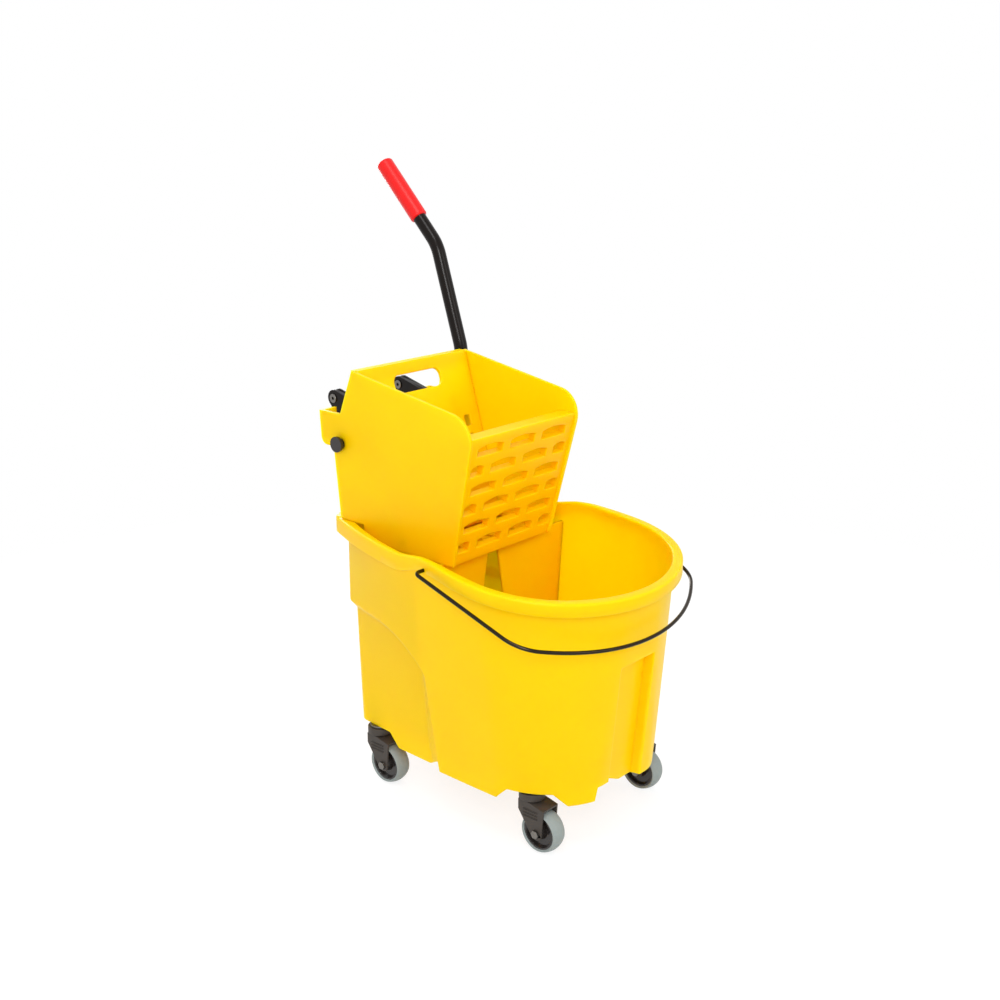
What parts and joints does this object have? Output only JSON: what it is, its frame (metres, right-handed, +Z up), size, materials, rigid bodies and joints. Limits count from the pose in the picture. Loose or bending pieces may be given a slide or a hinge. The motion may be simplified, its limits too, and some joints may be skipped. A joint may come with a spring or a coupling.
{
  "type": "mop bucket with wringer",
  "caption": "Wheeled mop bucket with a wire bail and a lift-off side-press wringer whose long handle swings a press plate towards a perforated wall.",
  "frame": {"origin": "on the floor under the middle of the bounding box", "axes": "+Z up, +X towards the rounded pouring end, +Y towards the handle side"},
  "size_m": [0.6758, 0.4074, 0.9319],
  "materials": {
    "yellow_plastic": "moulded, satin",
    "black_steel": "black powder coat, gloss",
    "wire_steel": "drawn wire",
    "zinc_steel": "zinc plated",
    "grey_plastic": "moulded, matte",
    "black_plastic": "moulded, matte",
    "grey_rubber": "moulded, matte",
    "red_grip": "moulded, satin"
  },
  "bodies": {
    "tub": {"bucket": "yellow_plastic", "caster_stem_front_near": "zinc_steel", "caster_stem_front_far": "zinc_steel", "caster_stem_rear_near": "zinc_steel", "caster_stem_rear_far": "zinc_steel"},
    "bail": {"bail": "wire_steel"},
    "wringer": {"wringer_body": "yellow_plastic", "hinge_pin_near": "zinc_steel", "hinge_pin_far": "zinc_steel"},
    "handle": {"cross_shaft": "black_steel", "shaft_cap_near": "black_plastic", "shaft_cap_far": "black_plastic", "crank_near_inner": "black_steel", "crank_near_outer": "black_steel", "crank_far_inner": "black_steel", "crank_far_outer": "black_steel", "drive_pin_near": "zinc_steel", "drive_pin_far": "zinc_steel", "handle_collar": "black_steel", "handle_tube": "black_steel", "handle_bolt": "zinc_steel", "grip": "red_grip"},
    "press": {"press_plate": "yellow_plastic", "link_near": "black_steel", "link_far": "black_steel", "link_bolts_near": "zinc_steel", "link_bolts_far": "zinc_steel"},
    "fork_front_near": {"caster_fork_front_near": "grey_plastic", "caster_axle_front_near": "zinc_steel"},
    "wheel_front_near": {"caster_hub_front_near": "black_plastic", "caster_tread_front_near": "grey_rubber"},
    "fork_front_far": {"caster_fork_front_far": "grey_plastic", "caster_axle_front_far": "zinc_steel"},
    "wheel_front_far": {"caster_hub_front_far": "black_plastic", "caster_tread_front_far": "grey_rubber"},
    "fork_rear_near": {"caster_fork_rear_near": "grey_plastic", "caster_axle_rear_near": "zinc_steel"},
    "wheel_rear_near": {"caster_hub_rear_near": "black_plastic", "caster_tread_rear_near": "grey_rubber"},
    "fork_rear_far": {"caster_fork_rear_far": "grey_plastic", "caster_axle_rear_far": "zinc_steel"},
    "wheel_rear_far": {"caster_hub_rear_far": "black_plastic", "caster_tread_rear_far": "grey_rubber"}
  },
  "joints": [
    {"name": "wringer_lift", "type": "slide", "parent": "tub", "child": "wringer", "axis": [0, 0, 1], "range_m": [0, 0.3]},
    {"name": "handle_pull", "type": "hinge", "parent": "wringer", "child": "handle", "pos_m": [-0.15924, 0, 0.528], "axis": [0, 1, 0], "range_deg": [0, 80]},
    {"name": "press_swing", "type": "hinge", "parent": "wringer", "child": "press", "pos_m": [-0.03924, 0, 0.396], "axis": [0, 1, 0], "range_deg": [0, 28]},
    {"name": "bail_swing", "type": "hinge", "parent": "tub", "child": "bail", "pos_m": [0.07576, 0, 0.399], "axis": [0, 1, 0], "range_deg": [-125, 0]},
    {"name": "swivel_front_near", "type": "hinge", "parent": "tub", "child": "fork_front_near", "pos_m": [0.22176, -0.121, 0.075], "axis": [0, 0, 1], "continuous": true},
    {"name": "roll_front_near", "type": "hinge", "parent": "fork_front_near", "child": "wheel_front_near", "pos_m": [0.24276, -0.121, 0.03175], "axis": [0, 1, 0], "continuous": true},
    {"name": "swivel_front_far", "type": "hinge", "parent": "tub", "child": "fork_front_far", "pos_m": [0.22176, 0.121, 0.075], "axis": [0, 0, 1], "continuous": true},
    {"name": "roll_front_far", "type": "hinge", "parent": "fork_front_far", "child": "wheel_front_far", "pos_m": [0.24276, 0.121, 0.03175], "axis": [0, 1, 0], "continuous": true},
    {"name": "swivel_rear_near", "type": "hinge", "parent": "tub", "child": "fork_rear_near", "pos_m": [-0.08724, -0.121, 0.075], "axis": [0, 0, 1], "continuous": true},
    {"name": "roll_rear_near", "type": "hinge", "parent": "fork_rear_near", "child": "wheel_rear_near", "pos_m": [-0.06624, -0.121, 0.03175], "axis": [0, 1, 0], "continuous": true},
    {"name": "swivel_rear_far", "type": "hinge", "parent": "tub", "child": "fork_rear_far", "pos_m": [-0.08724, 0.121, 0.075], "axis": [0, 0, 1], "continuous": true},
    {"name": "roll_rear_far", "type": "hinge", "parent": "fork_rear_far", "child": "wheel_rear_far", "pos_m": [-0.06624, 0.121, 0.03175], "axis": [0, 1, 0], "continuous": true}
  ],
  "couplings": [
    {"joint": "press_swing", "follows": "handle_pull", "ratio": 0.35}
  ]
}
